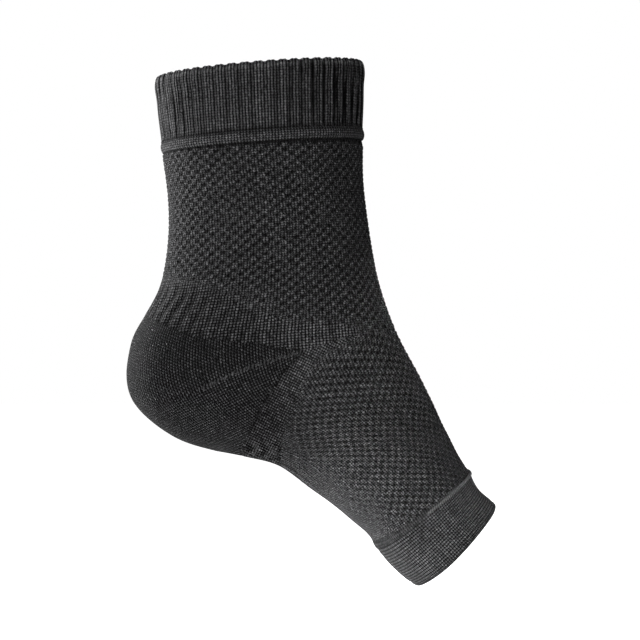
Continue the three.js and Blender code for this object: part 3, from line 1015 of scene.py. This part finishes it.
def zone_knit(name, zone):
    """Knitted yarn with the finish of that name and the colour of that zone."""
    finish = dict(zip(FINISH_COLUMNS, FINISHES[name]))
    colour = getattr(settings().colours, zone)
    material, bench, shader, yarn = yarn_material(name, colour, finish["fibre"])
    inputs = {each.capitalize(): finish[each] for each in STITCH_COLUMNS}
    stitches = bench.node("ShaderNodeGroup", inputs, node_tree=stitch_group()).outputs
    # The relief attribute is each point's tone, with its painted shade and painted light; hollow sets how
    # dark its low values paint the yarn.
    relief = bench.node("ShaderNodeAttribute", attribute_name="relief").outputs["Fac"]
    relief = bench.math("MULTIPLY_ADD", bench.math("SUBTRACT", 1.0, relief), finish["hollow"] - 1, 1.0)
    relief = bench.math("MAXIMUM", relief, finish["hollow"])
    filled = bench.math("MULTIPLY_ADD", stitches["Height"], STITCH_GAIN, -STITCH_GAP, clamp=True)
    shade = bench.math("MULTIPLY", bench.math("MULTIPLY", filled, relief), stitches["Tone"])
    surface = bench.math("MULTIPLY_ADD", yarn["Fibre"], 0.5, stitches["Height"])
    bump = {"Strength": 1.0, "Distance": finish["bump"] * MM, "Height": surface}
    bench.feed_all(shader, {
        "Base Color": bench.vector("SCALE", {0: yarn["Colour"], "Scale": shade}),
        "Normal": bench.node("ShaderNodeBump", bump).outputs[0],
        "Roughness": bench.math("MULTIPLY_ADD", yarn["Fibre"], 0.2, 0.85, clamp=True),
        "Sheen Tint": (0.8, 0.8, 0.82, 1),
    })
    return material


def thread_material(name, colour):
    """Stitching yarn, heathered and slightly rough."""
    material, bench, shader, yarn = yarn_material(name, colour, 0.5)
    bump = {"Distance": 0.12 * MM, "Height": yarn["Fibre"]}
    bench.feed_all(shader, {
        "Base Color": yarn["Colour"],
        "Normal": bench.node("ShaderNodeBump", bump).outputs[0],
        "Roughness": 0.85,
    })
    return material


# Stitches, laid along a path by geometry nodes


def stitch_row_tree():
    """Small rounded stitches at even places along a path, each turned from the path's run."""
    known = bpy.data.node_groups.get("stitches along a path")
    if known:
        return known
    inputs = (
        ("Path", "NodeSocketGeometry", None),
        ("Pitch", "NodeSocketFloat", 1.2 * MM),
        ("Length", "NodeSocketFloat", 1.2 * MM),
        ("Thickness", "NodeSocketFloat", 0.5 * MM),
        ("Turn", "NodeSocketFloat", 0.5),
        ("Zigzag", "NodeSocketFloat", 0.0),
        ("Seed", "NodeSocketInt", 1),
        ("Yarn", "NodeSocketMaterial", None),
    )
    outputs = [("Stitches", "NodeSocketGeometry")]
    bench, given = new_group("stitches along a path", "GeometryNodeTree", inputs, outputs)

    def add(kind, inputs=None, **choices):
        return bench.node(kind, inputs, **choices).outputs

    curve = add("GeometryNodeMeshToCurve", {"Mesh": given["Path"]})[0]
    even = add("GeometryNodeResampleCurve", {"Curve": curve, "Length": given["Pitch"]}, mode="LENGTH")[0]
    marks = add("GeometryNodeCurveToPoints", {"Curve": even}, mode="EVALUATED")
    outward = add("GeometryNodeInputNamedAttribute", {"Name": "outward"}, data_type="FLOAT_VECTOR")[0]
    axes = {0: outward, 1: marks["Tangent"]}
    stand = add("FunctionNodeAxesToRotation", axes, primary_axis="Z", secondary_axis="X")[0]
    index = add("GeometryNodeInputIndex")[0]
    other = bench.math("MULTIPLY_ADD", bench.math("MODULO", index, 2.0), -2.0, 1.0)
    turn = bench.math("MULTIPLY_ADD", other, given["Zigzag"], given["Turn"])
    dice = add("FunctionNodeRandomValue", {2: -0.15, 3: 0.15, "Seed": given["Seed"]}, data_type="FLOAT")
    around = add("ShaderNodeCombineXYZ", {2: bench.math("ADD", turn, dice[1])})[0]
    spin = add("FunctionNodeEulerToRotation", {0: around})[0]
    rotation = add("FunctionNodeRotateRotation", {0: stand, 1: spin}, rotation_space="LOCAL")[0]
    grain = add("GeometryNodeMeshUVSphere", {"Segments": 8, "Rings": 6, "Radius": 0.5})[0]
    size = add("ShaderNodeCombineXYZ", {0: given["Length"], 1: given["Thickness"], 2: given["Thickness"]})[0]
    stitch = add("GeometryNodeTransform", {"Geometry": grain, "Scale": size})[0]
    laid = {"Points": marks["Points"], "Instance": stitch, "Rotation": rotation}
    real = add("GeometryNodeRealizeInstances", {0: add("GeometryNodeInstanceOnPoints", laid)[0]})[0]
    smooth = add("GeometryNodeSetShadeSmooth", {0: real})[0]
    painted = add("GeometryNodeSetMaterial", {"Geometry": smooth, "Material": given["Yarn"]})[0]
    bench.node("NodeGroupOutput", {0: painted})
    return bench.tree


def stitch_piece(name, slot, paths, yarn, **sizes):
    """Stitches along paths, each given as points, outward directions and whether it closes."""
    points, outward, edges = [], [], []
    for path, out, closed in paths:
        first = len(points)
        points.extend(path.tolist())
        outward.extend(out.tolist())
        edges.extend((first + i, first + i + 1) for i in range(len(path) - 1))
        if closed:
            edges.append((first + len(path) - 1, first))
    mesh = bpy.data.meshes.new(name + "_path")
    mesh.from_pydata(points, edges, [])
    attribute = mesh.attributes.new("outward", "FLOAT_VECTOR", "POINT")
    attribute.data.foreach_set("vector", np.asarray(outward, np.float32).ravel())
    guide = bpy.data.objects.new(name + "_path", mesh)
    bpy.context.scene.collection.objects.link(guide)
    modifier = guide.modifiers.new("stitches", "NODES")
    modifier.node_group = stitch_row_tree()
    sockets = {
        item.name: item.identifier
        for item in modifier.node_group.interface.items_tree
        if item.in_out == "INPUT"
    }
    for key, value in sizes.items():
        modifier[sockets[key.capitalize()]] = value
    modifier[sockets["Yarn"]] = yarn
    ready = guide.evaluated_get(bpy.context.evaluated_depsgraph_get())
    made = bpy.data.meshes.new_from_object(ready)
    if not len(made.polygons):
        raise RuntimeError(name + " has no stitches")
    bpy.data.objects.remove(guide)
    made.name = name
    piece = bpy.data.objects.new(name, made)
    bpy.context.scene.collection.objects.link(piece)
    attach(piece, "root")
    return piece


# Operators


class ANKLESUPPORT_OT_top_cuff(bpy.types.Operator):
    """Ribbed cuff with its folded rim"""

    bl_idname = "ankle_support.top_cuff"
    bl_label = "Top cuff"

    def execute(self, context):
        sizes, knit = settings().sizes, settings().knit
        end, wall, fold = zone_ends()["hem"], sizes.cuff_wall, RIM_FOLD
        turns = np.linspace(math.pi, 0, TOP_CUFF_ROWS["fold"])[1:-1]
        outside = np.linspace(fold, end, TOP_CUFF_ROWS["outside"])
        inside = np.linspace(end, fold, TOP_CUFF_ROWS["inside"])
        along = np.concatenate([outside, inside, fold - fold * np.sin(turns)])[:, None]
        out = np.concatenate([0 * outside, 0 * inside - wall, wall / 2 * (np.cos(turns) - 1)])[:, None]
        skin = Skin(np.maximum(along[:, 0], 0), knit.cells_round * TOP_CUFF_POINTS_PER_CELL)
        cells = skin.shares * knit.cells_round + 0.12 * wander(skin.points, "cuff lean")
        wide_groove = ease(np.abs((cells % 1) - 0.5) * 2, 0.4, 0.85)
        fine_groove = ease(np.abs(((cells * 2) % 1) - 0.5) * 2, 0.5, 1.0)
        groove = np.maximum(wide_groove, 0.4 * fine_groove) ** 1.2
        on_outside = ease(out, -wall, 0)
        near_rim = 1 - fade("rim of the cuff", along)
        near_hem = 1 - fade("end of the ribs", end - along)
        facing = wave(skin.shares)
        # The grooves are cut deeper and painted darker most on the front, which faces away from the key
        # lamp: painted shade.
        groove_depth_and_shade_round = 0.34 + 0.9 * ease(facing, 0.05, 0.8) + 0.2 * ease(-facing, 0.3, 0.8)
        groove_depth_and_shade = groove * groove_depth_and_shade_round * (1 + 0.35 * wander(skin.points, "cuff depth"))
        depth = knit.cuff_rib_depth * groove_depth_and_shade * (1 - 0.65 * near_hem) * (1 - 0.35 * near_rim)
        rim_roll = 0.5 * MM * line("rim roll", along - 4.5 * MM) * on_outside
        uneven = 0.25 * MM * wander(skin.points, "cuff wave")
        loops = skin.moved(out - depth * (0.5 + 0.5 * on_outside) + uneven + rim_roll + swells(skin.points))
        loops = loops + skin.down * (near_rim * (groove - 0.5) * 0.5 * MM)[..., None]
        # The tone darkens in the grooves: painted shade.
        relief = 1 - groove_depth_and_shade * (1 - 0.5 * near_hem) * (1 - 0.5 * near_rim)
        # Nearly black line in the gap between the ribs and the hem: painted shade.
        relief = relief * (1 - 0.97 * line("painted shade in the gap above the hem", end - along))
        # The back is painted lighter where the rim lamp falls: painted light.
        relief = relief * (1 - 0.2 * near_rim) * (1 + 0.25 * ease(-facing, 0.6, 0.95))
        folded = 2 * end + np.linspace(0, wall, len(turns))
        stitches = np.concatenate([outside, 2 * end - inside, folded]) / CUFF_COURSE
        wall_piece("top_cuff", loops, stitches, relief, zone_knit("ribbed cuff knit", "top_cuff"))
        return {"FINISHED"}


class ANKLESUPPORT_OT_hem_band(bpy.types.Operator):
    """Plain knitted roll under the ribs"""

    bl_idname = "ankle_support.hem_band"
    bl_label = "Hem band"

    def execute(self, context):
        sizes, ends = settings().sizes, zone_ends()
        start, end = ends["hem"], ends["panels"]
        courses = 5
        share = np.linspace(0, 1, HEM_ROWS)
        swell = np.sin(math.pi * share) ** 0.45
        along = np.concatenate([start + share * (end + HEM_OVERHANG - start), [end, start]])
        roll = swell * sizes.hem_bulge - (1 - swell) * 0.6 * MM
        out = np.concatenate([roll, [-sizes.cuff_wall] * 2])[:, None]
        skin = Skin(along, PANEL_AROUND)
        beat = 0.5 + 0.5 * wave(skin.shares * settings().knit.cells_round * 2)
        pinch = np.append(1 - share, [0, 0])[:, None] ** 4 * beat
        out = out + swells(skin.points) - 0.35 * MM * pinch + 0.15 * MM * wander(skin.points, "hem")
        # The roll is painted darker towards its top and bottom edges, where it turns under, and in its
        # pinches: painted shade.
        relief = np.append(0.35 + 0.65 * swell, [CUFF_INSIDE_TONE] * 2)[:, None] - 0.5 * pinch
        stitches = np.append(share, [1, 1]) * courses
        wall_piece("hem_band", skin.moved(out), stitches, relief, zone_knit("plain hem knit", "hem"))
        return {"FINISHED"}


class ANKLESUPPORT_OT_leg_panel(bpy.types.Operator):
    """Bird's-eye knit of the leg"""

    bl_idname = "ankle_support.leg_panel"
    bl_label = "Leg panel"

    def execute(self, context):
        panel_piece("leg_panel", (LEG,), zone_knit("leg bird's-eye knit", "leg"))
        return {"FINISHED"}


class ANKLESUPPORT_OT_instep_panel(bpy.types.Operator):
    """Bird's-eye knit of the instep and the sole"""

    bl_idname = "ankle_support.instep_panel"
    bl_label = "Instep panel"

    def execute(self, context):
        panel_piece("instep_panel", (INSTEP,), zone_knit("instep bird's-eye knit", "instep"))
        return {"FINISHED"}


class ANKLESUPPORT_OT_ankle_band(bpy.types.Operator):
    """Fine-ribbed band round the ankle and the arch"""

    bl_idname = "ankle_support.ankle_band"
    bl_label = "Ankle band"

    def execute(self, context):
        panel_piece("ankle_rib_band", (BAND, ARCH), zone_knit("ankle fine rib knit", "band"))
        return {"FINISHED"}


class ANKLESUPPORT_OT_heel_pocket(bpy.types.Operator):
    """Smooth heel pocket with its gathered line"""

    bl_idname = "ankle_support.heel_pocket"
    bl_label = "Heel pocket"

    def execute(self, context):
        panel_piece("heel_pocket", (HEEL_TOP, HEEL_SOLE), zone_knit("heel knit", "heel"))
        return {"FINISHED"}


class ANKLESUPPORT_OT_foot_border(bpy.types.Operator):
    """Raised strip between the instep and the foot cuff"""

    bl_idname = "ankle_support.foot_border"
    bl_label = "Foot border"

    def execute(self, context):
        sizes, ends = settings().sizes, zone_ends()
        start, end = ends["border"], ends["foot_cuff"]
        courses, edge = 3, HEIGHTS["rise to the border"] * MM
        share = np.linspace(0, 1, BORDER_ROWS)
        swell = np.sin(math.pi * share) ** 0.6
        along = np.concatenate([start + share * (end - start), [end, start]])
        rise = edge + swell * (sizes.border_bulge - edge)
        out = np.concatenate([rise, [-sizes.cuff_wall] * 2])[:, None]
        skin = Skin(along, PANEL_AROUND * 2)
        chain = np.abs(np.sin(math.pi * skin.shares * settings().knit.cells_round * STITCHES_PER_CELL))
        middle = np.append(swell, [0, 0])[:, None]
        out = out + swells(skin.points) - 0.22 * MM * middle * (1 - chain)
        # The strip is painted darker at its edges and between its chain stitches: painted shade.
        relief = np.append(0.3 + 0.7 * swell, [CUFF_INSIDE_TONE] * 2)[:, None] * (0.6 + 0.4 * chain)
        # The strip is painted darker on the sole side: painted shade.
        clear_of_painted_sole_shade = ease(np.abs(skin.shares - 0.5), *GIRTH_FADES["painted shade of the border eases off the sole"])
        relief = relief * (0.6 + 0.4 * clear_of_painted_sole_shade)
        stitches = np.append(share, [1, 1]) * courses
        wall_piece("foot_border", skin.moved(out), stitches, relief, zone_knit("border knit", "border"))
        return {"FINISHED"}


class ANKLESUPPORT_OT_foot_cuff(bpy.types.Operator):
    """Plain knitted cuff with its folded toe edge"""

    bl_idname = "ankle_support.foot_cuff"
    bl_label = "Foot cuff"

    def execute(self, context):
        sizes, knit, ends = settings().sizes, settings().knit, zone_ends()
        start, end = ends["foot_cuff"], ends["toe_edge"]
        wall = sizes.cuff_wall
        fold = wall / 2
        turns = np.linspace(0, math.pi, FOOT_CUFF_ROWS["fold"])[1:-1]
        outside = np.linspace(start, end - fold, FOOT_CUFF_ROWS["outside"])
        inside = np.linspace(end - fold, start, FOOT_CUFF_ROWS["inside"])
        along = np.concatenate([outside, end - fold + fold * np.sin(turns), inside])[:, None]
        out = np.concatenate([0 * outside, -fold + fold * np.cos(turns), 0 * inside - wall])[:, None]
        skin = Skin(along[:, 0], knit.cells_round * FOOT_CUFF_POINTS_PER_CELL)
        on_outside = out > -fold
        dip = 0.35 * MM * np.sin(math.pi * np.clip((along - start) / (end - start), 0, 1)) ** 2
        toe_line = line("toe line", along - (end - 2.6 * MM)) * on_outside
        at_border = line("foot cuff at the border", along - start) * on_outside
        wale = (0.5 + 0.5 * wave(skin.shares * knit.cells_round * 2)) ** 3
        down = -skin.points[..., 2]
        out = out + HEIGHTS["rise to the border"] * MM * at_border - dip
        out = out - 0.3 * MM * toe_line - 0.12 * MM * wale
        out = out + 0.18 * MM * wander(skin.points, "foot cuff") + swells(skin.points)
        # Painted shade in the toe line and in the wale grooves.
        relief = 1 - 0.35 * toe_line - 0.3 * wale
        # The toe edge is painted dark where its fold turns away from the light: painted shade.
        relief = relief * (1 - 0.8 * ease(along, end - 1.7 * MM, end - 0.9 * MM))
        # The cuff is painted lighter towards the bottom, where the low lamps fall: painted light.
        relief = relief * (1 + 0.6 * fade("painted light on the lower foot cuff", down))
        stitches = np.concatenate([outside, end + 0 * turns, 2 * end - inside]) / CUFF_COURSE
        stretch = fade("foot cuff stretches down", down) * ease(along, start, end) * 1.1 * MM
        loops = skin.moved(out) + skin.down * stretch[..., None]
        wall_piece("foot_cuff", loops, stitches, relief, zone_knit("plain cuff knit", "foot_cuff"))
        return {"FINISHED"}


class ANKLESUPPORT_OT_stitches(bpy.types.Operator):
    """Stitches under the ribs, along the foot border and along the heel's gathered line"""

    bl_idname = "ankle_support.stitches"
    bl_label = "Stitches"

    def execute(self, context):
        sizes, ends = settings().sizes, zone_ends()
        colour = np.array(settings().colours.thread)
        around = settings().knit.cells_round * STITCHES_PER_CELL
        skin = Skin(np.array([ends["hem"], (ends["border"] + ends["foot_cuff"]) / 2]), around * 3)
        stitch_piece(
            "cuff_stitches", "ribbed_cuff_knit",
            [(skin.moved(swells(skin.points) - 0.15 * MM)[0], skin.normals[0], True)],
            thread_material("cuff stitching yarn", colour * 0.4), pitch=skin.girths[0] / around,
            length=1.0 * MM, thickness=0.36 * MM, turn=math.pi / 2, zigzag=0.35, seed=2,
        )
        reach = int(0.24 * len(skin.shares))
        front = np.roll(np.arange(len(skin.shares)), reach)[: 2 * reach]
        border_line = skin.moved(swells(skin.points) + sizes.border_bulge - 0.1 * MM)[1][front]
        stitch_piece(
            "border_stitches", "border_knit",
            [(border_line, skin.normals[1][front], False)],
            thread_material("border stitching yarn", colour * 1.25), pitch=skin.girths[1] / around,
            length=1.7 * MM, thickness=0.5 * MM, turn=math.pi / 2 - 0.5, zigzag=0.0, seed=3,
        )
        stitch_piece(
            "gore_stitches", "heel_knit", self.gore_paths(),
            thread_material("gathered heel yarn", colour * 0.4), pitch=1.7 * MM,
            length=2.3 * MM, thickness=0.75 * MM, turn=1.0, zigzag=0.0, seed=4,
        )
        return {"FINISHED"}

    def gore_paths(self):
        """The gathered line on both sides of the heel, laid on the knit."""
        points = panels().outer.reshape(-1, 3)
        normals = panels().skin.normals.reshape(-1, 3)
        outline = smooth_outline(GORE_LINE, closed=False, steps=12)
        outline = outline[: int(len(outline) * 0.62)]
        paths = []
        for side in (-1, 1):
            mine = points[:, 1] * side > 2 * MM
            near, out = points[mine], normals[mine]
            path, ways = [], []
            for x, z in outline:
                gap = np.hypot(near[:, 0] - x, near[:, 2] - z)
                nearest = np.argpartition(gap, 12)[:12]
                path.append(near[nearest].mean(axis=0))
                ways.append(out[nearest].mean(axis=0))
            paths.append((np.array(path), unit(np.array(ways)), False))
        return paths


# The studio. Each lamp has its place, its aim, its two sizes, its power in watts and the spread
# of its beam in degrees.
SLEEVE_MIDDLE = (0.02, 0, -0.01)
LAMPS = {
    "key left": ((-0.9, -0.8, 0.1), SLEEVE_MIDDLE, (0.6, 0.8), 11, 180),
    "rim left": ((-0.9, 0.55, 0.05), SLEEVE_MIDDLE, (0.4, 0.9), 44, 180),
    "front": ((0.18, -1.2, 0.3), SLEEVE_MIDDLE, (0.8, 0.6), 5.2, 180),
    "rim right": ((0.9, 0.7, 0.1), SLEEVE_MIDDLE, (0.4, 0.8), 0.5, 180),
    "low left": ((-0.15, -0.5, -0.16), (0.07, 0, -0.1), (0.5, 0.1), 3.6, 180),
    "low right": ((0.45, -0.5, -0.02), (0.095, -0.02, -0.115), (0.1, 0.1), 0.08, 22),
    "fill behind": ((-0.25, 1.3, 0.3), SLEEVE_MIDDLE, (0.8, 0.6), 5, 180),
    "inside": ((0, 0, 1), (0, 0, 0), (0.06, 0.06), 0.12, 7),
}
VIEW_CENTRE = (0.0231, -0.0084)
FLOOR_RADIUS = 4
FLOOR_SIDES = 64
WHITE = (1, 1, 1, 1)
PAPER_GLOW = 1.1
ROOM_LIGHT = 0.05
SENSOR_WIDTH = 36
NEAREST = 0.05
FARTHEST = 20


def add_lamp(name, place, aim, size, power, spread):
    light = bpy.data.lights.new(name, "AREA")
    light.shape = "RECTANGLE"
    light.size, light.size_y = size
    light.energy = power
    light.spread = math.radians(spread)
    lamp = bpy.data.objects.new(name, light)
    bpy.context.scene.collection.objects.link(lamp)
    lamp.location = place
    x, y, z = np.array(aim, float) - np.array(place, float)
    lamp.rotation_euler = (math.pi / 2 + math.atan2(z, math.hypot(x, y)), 0, math.atan2(y, x) - math.pi / 2)


class ANKLESUPPORT_OT_studio(bpy.types.Operator):
    """White backdrop, soft lights and the camera"""

    bl_idname = "ankle_support.studio"
    bl_label = "Studio"

    def execute(self, context):
        studio, scene = settings().studio, context.scene
        turns = np.arange(FLOOR_SIDES) / FLOOR_SIDES * TURN
        level = CAD_BOX[0][2] - studio.floor_drop
        floor = [(FLOOR_RADIUS * math.cos(turn), FLOOR_RADIUS * math.sin(turn), level) for turn in turns]
        mesh = bpy.data.meshes.new("studio_floor")
        mesh.from_pydata(floor, [], [tuple(range(FLOOR_SIDES))])
        ground = bpy.data.objects.new("studio_floor", mesh)
        scene.collection.objects.link(ground)
        paper = bpy.data.materials.new("white paper")
        paper.use_nodes = True
        bench = NodeBench(paper.node_tree)
        seen = bench.node("ShaderNodeLightPath").outputs["Is Camera Ray"]
        bench.feed_all(paper.node_tree.nodes["Principled BSDF"].inputs, {
            "Base Color": (0.8, 0.8, 0.8, 1),
            "Roughness": 0.9,
            "Emission Color": WHITE,
            "Emission Strength": bench.math("MULTIPLY", seen, PAPER_GLOW),
        })
        mesh.materials.append(paper)

        for name, lamp in LAMPS.items():
            add_lamp(name, *lamp)
        world = bpy.data.worlds.new("soft room")
        world.use_nodes = True
        bench = NodeBench(world.node_tree)
        seen = bench.node("ShaderNodeLightPath").outputs["Is Camera Ray"]
        strength = bench.math("MULTIPLY_ADD", seen, 1 - ROOM_LIGHT, ROOM_LIGHT)
        bench.feed_all(world.node_tree.nodes["Background"].inputs, {"Color": WHITE, "Strength": strength})
        scene.world = world
        scene.view_settings.view_transform = "Standard"
        scene.view_settings.look = "None"

        camera = bpy.data.cameras.new("camera")
        camera.sensor_width = SENSOR_WIDTH
        camera.lens = camera.sensor_width * studio.distance / studio.view_width
        camera.clip_start = NEAREST
        camera.clip_end = FARTHEST
        eye = bpy.data.objects.new("camera", camera)
        eye.location = (VIEW_CENTRE[0], -studio.distance, VIEW_CENTRE[1])
        eye.rotation_euler = (math.pi / 2, 0, 0)
        scene.collection.objects.link(eye)
        scene.camera = eye
        return {"FINISHED"}


PIECE_OPERATORS = (
    ANKLESUPPORT_OT_top_cuff,
    ANKLESUPPORT_OT_hem_band,
    ANKLESUPPORT_OT_leg_panel,
    ANKLESUPPORT_OT_ankle_band,
    ANKLESUPPORT_OT_heel_pocket,
    ANKLESUPPORT_OT_instep_panel,
    ANKLESUPPORT_OT_foot_border,
    ANKLESUPPORT_OT_foot_cuff,
    ANKLESUPPORT_OT_stitches,
    ANKLESUPPORT_OT_studio,
)


class ANKLESUPPORT_PT_panel(bpy.types.Panel):
    """The steps of the ankle support, in order"""

    bl_idname = "ANKLESUPPORT_PT_panel"
    bl_label = "Ankle support"
    bl_space_type = "VIEW_3D"
    bl_region_type = "UI"
    bl_category = "Ankle support"

    def draw(self, context):
        for operator in PIECE_OPERATORS:
            self.layout.operator(operator.bl_idname)
        for group in (settings().sizes, settings().knit, settings().colours, settings().studio):
            box = self.layout.box()
            for name in type(group).__annotations__:
                box.prop(group, name)


CLASSES = (
    SleeveSizes,
    KnitSizes,
    KnitColours,
    StudioSizes,
    AnkleSupportSettings,
    *PIECE_OPERATORS,
    ANKLESUPPORT_PT_panel,
)


def register():
    for each in CLASSES:
        bpy.utils.register_class(each)
    bpy.types.Scene.ankle_support = bpy.props.PointerProperty(type=AnkleSupportSettings)


def unregister():
    del bpy.types.Scene.ankle_support
    for each in reversed(CLASSES):
        bpy.utils.unregister_class(each)


def main():
    register()
    for operator in PIECE_OPERATORS:
        group, name = operator.bl_idname.split(".")
        getattr(getattr(bpy.ops, group), name)()


if __name__ == "__main__":
    main()
